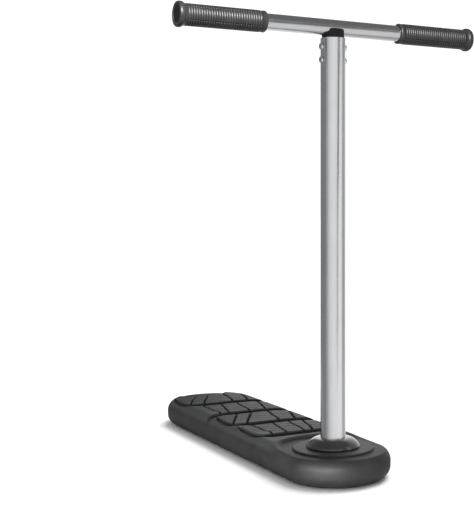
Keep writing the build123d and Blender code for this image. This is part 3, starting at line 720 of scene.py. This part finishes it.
board_room = np.concatenate([
    flat_rows(inner_line(pocket_radius), outline(board_reach), board_high[2], 3),
    [np.concatenate([outline(board_reach), np.full((len(centre_x), 1), board_high[2])], axis=-1)],
    [np.concatenate([outline(board_reach), np.full((len(centre_x), 1), board_low[2])], axis=-1)],
    flat_rows(inner_line(flange_room), outline(board_reach), board_low[2], 3)[::-1],
])
pocket_wall = np.array([level_ring(pocket_radius, z) for z in (nose_floor, board_high[2])])
sole_steps = [
    (sole_radius, 0.0), (sole_radius, plug_top), (access_radius, plug_top),
    (access_radius, nut_room), (flange_room, nut_room), (flange_room, board_low[2]),
]
sole_wall = np.array([level_ring(radius, z) for radius, z in sole_steps])


def joined_mesh(name, parts, flags):
    """One mesh from several (grid, flip) parts: equal points are merged and empty faces dropped.
    Each flag is a named value per point, kept as a point attribute."""
    mesh = bpy.data.meshes.new(name)
    points, quads, start = [], [], 0
    for grid, closed, flip in parts:
        rows, columns = grid.shape[:2]
        index = start + np.arange(rows * columns).reshape(rows, columns)
        if closed:
            index = np.concatenate([index, index[:, :1]], axis=1)
        cells = np.stack([index[:-1, :-1], index[:-1, 1:], index[1:, 1:], index[1:, :-1]], axis=-1)
        cells = cells.reshape(-1, 4)
        quads.append(cells[:, ::-1] if flip else cells)
        points.append(grid.reshape(-1, 3))
        start += rows * columns
    points, quads = np.concatenate(points), np.concatenate(quads)
    mesh.from_pydata(points.tolist(), [], quads.tolist())
    for key, values in flags.items():
        full = np.zeros(len(points), np.float32)
        full[: values.size] = values.ravel()
        layer = mesh.attributes.new(key, "FLOAT", "POINT")
        layer.data.foreach_set("value", full)
    work = bmesh.new()
    work.from_mesh(mesh)
    bmesh.ops.remove_doubles(work, verts=work.verts, dist=2e-6)
    bmesh.ops.dissolve_degenerate(work, edges=work.edges, dist=1e-7)
    bmesh.ops.recalc_face_normals(work, faces=work.faces)
    work.to_mesh(mesh)
    open_edges = sum(1 for edge in work.edges if not edge.is_manifold)
    volume = round(work.calc_volume() * 1e6, 1)
    print(name, "faces", len(work.faces), "open edges", open_edges, "volume", volume, "cm3")
    work.free()
    return mesh


circle = np.flatnonzero(on_circle)
deck_mesh = joined_mesh(
    "deck_foam_skin",
    [
        (skin, True, True),
        (board_room, True, False),
        (pocket_wall[:, circle], True, False),
        (sole_wall[:, circle], True, False),
    ],
    {"block": block, "groove": groove, "cut": cut_shade},
)
deck_mesh.shade_smooth()
deck = add_object("deck_foam_skin", deck_mesh)
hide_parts("deck_foam")
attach(deck, "deck")

# %% [markdown]
# ## Foam skin
# Moulded foam has a closed, slightly waxy skin with a fine pebble grain. The pad tops carry a
# painted sheen that makes them lighter than the sides, and the grooves and narrow cuts carry
# painted shade, down to near black. The colour follows values that the mesh carries, so it keeps
# to the tread wherever the tread goes.

# %% Foam finish
foam = Finish("deck_foam", (0.03, 0.03, 0.031), 0.5, specular_ior_level=0.18)
pebble = foam.noise(1500.0, 2.0, 0.6)
grain = foam.noise(420.0, 3.0, 0.7)
cloud = foam.noise(28.0, 4.0, 0.6)
painted_top_sheen = foam.attribute("block")
painted_groove_shade = foam.attribute("groove")
painted_cut_shade = foam.attribute("cut")
# painted sheen: the pad tops are painted lighter than the sides and groove walls of the same foam
skin_colour = foam.mix(painted_top_sheen, (0.009, 0.0085, 0.008), (0.023, 0.024, 0.025))
worn = foam.mix(cloud.between(0.3, 0.8) * 0.35, skin_colour, (0.034, 0.034, 0.036))
speckled = foam.mix(grain.between(0.42, 0.72) * 0.5, worn, (0.010, 0.010, 0.010))
# painted shade: the groove floors and the narrow cuts are painted near black
foam.feed("Base Color", foam.mix(painted_groove_shade + painted_cut_shade, speckled, (0.003, 0.003, 0.003)))
foam.feed("Roughness", 0.46 + (pebble - 0.5) * 0.12 + (cloud - 0.5) * 0.16 + painted_cut_shade * 0.3)
foam.bump(pebble * 0.5 + grain, 4e-4)
deck_mesh.materials.append(foam.material)

# %% [markdown]
# ## Ribbed rubber grips
# A grip is a moulded rubber tube: fine rings across the hand, five plain lines along it, a smooth
# band at the inner end and a mushroom flange at the outer end. It is a profile turned about the
# handlebar, but the rings stop at the plain lines, so the radius is a function of both the place
# along the bar and the angle round it.

# %% Grips
grip_low, grip_high = (np.array(corner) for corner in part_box("grip_left"))
grip_start, grip_end = grip_low[1], grip_high[1]
flange_radius = (grip_high[0] - grip_low[0]) / 2
flange_width = 8 * MM
rib_radius = bar_radius + 3.5 * MM
rib_pitch, rib_gap, rib_depth = 3.8 * MM, 1.5 * MM, 0.8 * MM
plain_band = 9 * MM
nose_round = 2.2 * MM
root_rise = 0.5 * MM
rib_count = int((grip_end - grip_start - plain_band - flange_width - 4 * MM) / rib_pitch)
line_angles = radians(1.6) + 2 * pi * np.arange(5) / 5 + radians(36)


def grip_profile():
    """The closed section of a grip as (along, radius, ringed): out along the skin from the inner
    end, over the flange, into its hollow face and back through the bore. Ringed is 1 where the
    rings are cut."""
    turn = np.linspace(0, pi / 2, 7)
    nose = [
        (grip_start + nose_round * (1 - cos(a)), rib_radius - nose_round * (1 - sin(a)), 0)
        for a in turn
    ]
    ribs = np.linspace(0, rib_count, rib_count * 8 + 1)
    along = grip_start + plain_band + ribs * rib_pitch
    body = [(y, rib_radius, 1) for y in along]
    root = grip_end - flange_width
    root_radius = rib_radius + root_rise
    neck = [
        (along[-1] + 2 * MM, rib_radius, 0),
        (root - 1.2 * MM, rib_radius, 0),
        (root, root_radius, 0),
    ]
    middle, half = grip_end - flange_width / 2, flange_width / 2
    flange = [
        (middle + half * sin(a), root_radius + (flange_radius - root_radius) * cos(a) ** 0.7, 0)
        for a in np.linspace(-pi / 2, pi / 2, 15)[1:-1]
    ]
    face = [
        (grip_end, rib_radius, 0), (grip_end, bar_radius + 1.4 * MM, 0),
        (grip_end - 0.4 * MM, bar_radius + 0.9 * MM, 0), (grip_end - 0.9 * MM, bar_radius, 0),
    ]
    bore = [(grip_start, bar_radius, 0)]
    return np.array(nose + body + neck + flange + face + bore)


def ring_gap(along):
    """1 in the gap between two rings and 0 on a ring: a rounded wave with one dip to each ring."""
    wave = ((along - grip_start - plain_band) / rib_pitch) % 1
    off = np.minimum(wave, 1 - wave) * rib_pitch
    return 1 - smooth_step(0.25 * rib_gap, 0.62 * rib_gap, off)


def line_gap(angle):
    """1 on the five plain lines and 0 between them."""
    off = np.min(np.abs((angle[:, None] - line_angles + pi) % (2 * pi) - pi), axis=1)
    return 1 - smooth_step(radians(1.6), radians(3.4), off)


def grip_mesh(name, side):
    """A grip on one side, +1 for +Y. Point = (x0 + r cos a, side * along, z0 + r sin a), where r
    is the profile's radius less the depth of a gap or line where the grip is ringed."""
    profile = grip_profile()
    sectors = np.array([-5.2, -3.6, -2.6, -1.6, 0, 1.6, 2.6, 3.6, 5.2, *np.linspace(8, 64, 17)])
    angle = np.concatenate([line + np.radians(sectors) for line in line_angles])
    along, radius, ringed = profile[:, 0:1], profile[:, 1:2], profile[:, 2:3]
    gap = np.maximum(ring_gap(along), line_gap(angle)[None, :]) * ringed
    r = radius - rib_depth * gap
    x, z = spin_x + r * np.cos(angle), bar_z + r * np.sin(angle)
    grid = np.stack([x, side * along + 0 * r, z], axis=-1)
    grid = np.concatenate([grid, grid[:1]])
    return joined_mesh(name, [(grid, True, side > 0)], {"gap": gap})


for name, node, side in (("ribbed_grip_left", "grip_left", 1), ("ribbed_grip_right", "grip_right", -1)):
    grip = add_object(name, grip_mesh(name, side))
    grip.data.shade_smooth()
    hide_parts(node)
    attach(grip, "column")

rubber = Finish("grip_rubber", (0.018, 0.018, 0.019), 0.42, specular_ior_level=0.35)
rubber_grain = rubber.noise(1400.0, 2.0, 0.6)
rubber_cloud = rubber.noise(40.0, 4.0, 0.6)
painted_gap_shade = rubber.attribute("gap")
handled = rubber.mix(rubber_cloud.between(0.35, 0.75), (0.009, 0.009, 0.009), (0.018, 0.018, 0.018))
# painted shade: the gaps between the rings are painted darker than the ring tops; the same value makes the
# gaps rougher
rubber.feed("Base Color", rubber.mix(painted_gap_shade, handled, (0.004, 0.004, 0.004)))
rubber.feed("Roughness", 0.36 + painted_gap_shade * 0.12 + (rubber_cloud - 0.5) * 0.12)
rubber.bump(rubber_grain, 3e-5)
dress(rubber, "ribbed_grip_left", "ribbed_grip_right")

# %% [markdown]
# ## Lights of their own for the black parts
# Black rubber and foam give back only a few hundredths of what falls on them, so a light strong
# enough to draw them would burn out the metal next to them. Light linking lets one panel shine on
# the grips alone, and a second, low one shine on the deck alone, which lifts the round of its
# nose and the lower part of its side.

# %% Linked lights
def linked_light(name, place, target, size, power, *receivers):
    """A panel at place that faces target and lights only the receivers. Size is (wide, high)."""
    panel = bpy.data.objects.new(name, bpy.data.lights.new(name, "AREA"))
    panel.data.shape = "RECTANGLE"
    panel.data.size, panel.data.size_y = size
    panel.data.energy = power
    panel.location = place
    aim = Vector(target) - Vector(place)
    panel.rotation_euler = aim.to_track_quat("-Z", "Y").to_euler()
    scene.collection.objects.link(panel)
    lit = bpy.data.collections.new(name + "_receivers")
    for receiver in receivers:
        lit.objects.link(bpy.data.objects[receiver])
    panel.light_linking.receiver_collection = lit
    return panel


grips = ("ribbed_grip_left", "ribbed_grip_right")
grip_target = (spin_x, -0.14, bar_z)
grip_panel = linked_light("grip_light", (0.98, -0.50, 1.10), grip_target, (0.6, 0.45), 52, *grips)
grip_panel.data.diffuse_factor = 0.25
deck_target = (0.16, -0.06, 0.02)
deck_panel = linked_light(
    "deck_light", (0.96, -0.90, 0.10), deck_target, (1.3, 0.16), 60, "deck_foam_skin",
)
print("linked lights", grip_panel.name, deck_panel.name)
